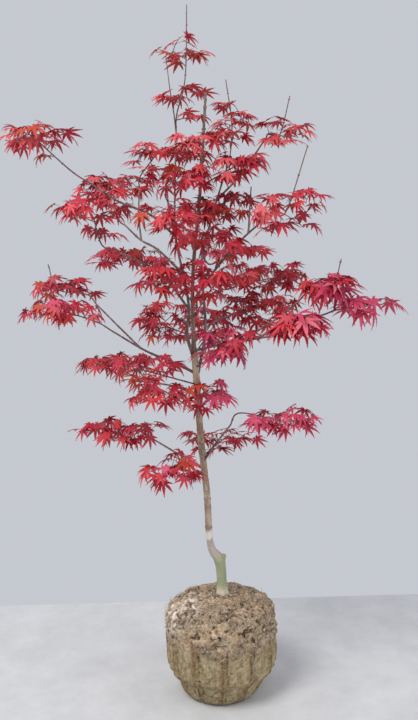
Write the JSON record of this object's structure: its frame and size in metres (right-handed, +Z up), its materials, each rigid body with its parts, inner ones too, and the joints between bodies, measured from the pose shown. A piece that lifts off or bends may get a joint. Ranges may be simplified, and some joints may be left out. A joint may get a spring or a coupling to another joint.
{
  "type": "japanese maple tree",
  "caption": "Slender young Japanese maple with red palmate leaves in layered sprays, on a fluted root ball.",
  "frame": {"origin": "centre of the root ball's flat underside", "axes": "+Z up along the trunk, +X to the right and +Y to the back as the plant is seen from its front"},
  "size_m": [0.7015, 0.5546, 1.3941],
  "materials": {
    "soil": "crumbly potting soil bound by fine roots, matte",
    "stem_bark": "smooth tan-grey bark with pale patches, green below the graft",
    "shoot_bark": "smooth dark red-brown young bark, slightly waxy",
    "leaf_crimson": "thin crimson leaf, satin",
    "leaf_dark": "thin dark red leaf, satin",
    "leaf_coral": "thin coral red leaf, satin",
    "leaf_rose": "thin rose red leaf, satin"
  },
  "bodies": {
    "root": {"root_ball": "soil", "trunk": "stem_bark", "left_leader": "shoot_bark", "top_shoot": "shoot_bark", "upper_left_bough": "shoot_bark", "left_side_shoot": "shoot_bark", "far_left_bough": "shoot_bark", "mid_left_bough": "shoot_bark", "left_bough": "shoot_bark", "left_back_bough": "shoot_bark", "back_left_bough": "shoot_bark", "low_back_left_bough": "shoot_bark", "low_left_bough": "shoot_bark", "low_right_bough": "shoot_bark", "right_bough": "shoot_bark", "right_upper_bough": "shoot_bark", "right_front_bough": "shoot_bark", "right_leader": "shoot_bark", "high_right_bough": "shoot_bark", "upper_right_bough": "shoot_bark", "spare_shoot": "shoot_bark", "mid_right_bough": "shoot_bark", "back_right_bough": "shoot_bark", "back_bough": "shoot_bark", "top_leaves": "leaf_coral", "leader_leaves": "leaf_crimson", "side_shoot_leaves": "leaf_coral", "upper_left_leaves": "leaf_crimson", "far_left_leaves": "leaf_coral", "mid_left_leaves": "leaf_crimson", "left_leaves": "leaf_crimson", "left_back_leaves": "leaf_crimson", "back_left_leaves": "leaf_dark", "low_back_left_leaves": "leaf_dark", "low_left_leaves": "leaf_dark", "low_right_leaves": "leaf_rose", "right_leaves": "leaf_rose", "right_upper_leaves": "leaf_rose", "right_front_leaves": "leaf_rose", "upright_leaves": "leaf_coral", "high_right_leaves": "leaf_coral", "upper_right_leaves": "leaf_crimson", "mid_right_leaves": "leaf_dark", "back_right_leaves": "leaf_crimson", "back_leaves": "leaf_dark", "inner_left_leaves": "leaf_crimson", "lower_left_leaves": "leaf_dark", "front_left_leaves": "leaf_dark", "low_front_left_leaves": "leaf_crimson", "foot_left_leaves": "leaf_crimson", "foot_back_leaves": "leaf_crimson", "foot_right_leaves": "leaf_rose", "front_right_leaves": "leaf_rose", "back_middle_leaves": "leaf_dark", "front_leaves": "leaf_coral", "front_upper_leaves": "leaf_crimson", "front_high_left_leaves": "leaf_crimson", "collar_leaves": "leaf_crimson", "tip_leaves": "leaf_coral", "high_middle_leaves": "leaf_crimson"}
  },
  "joints": []
}
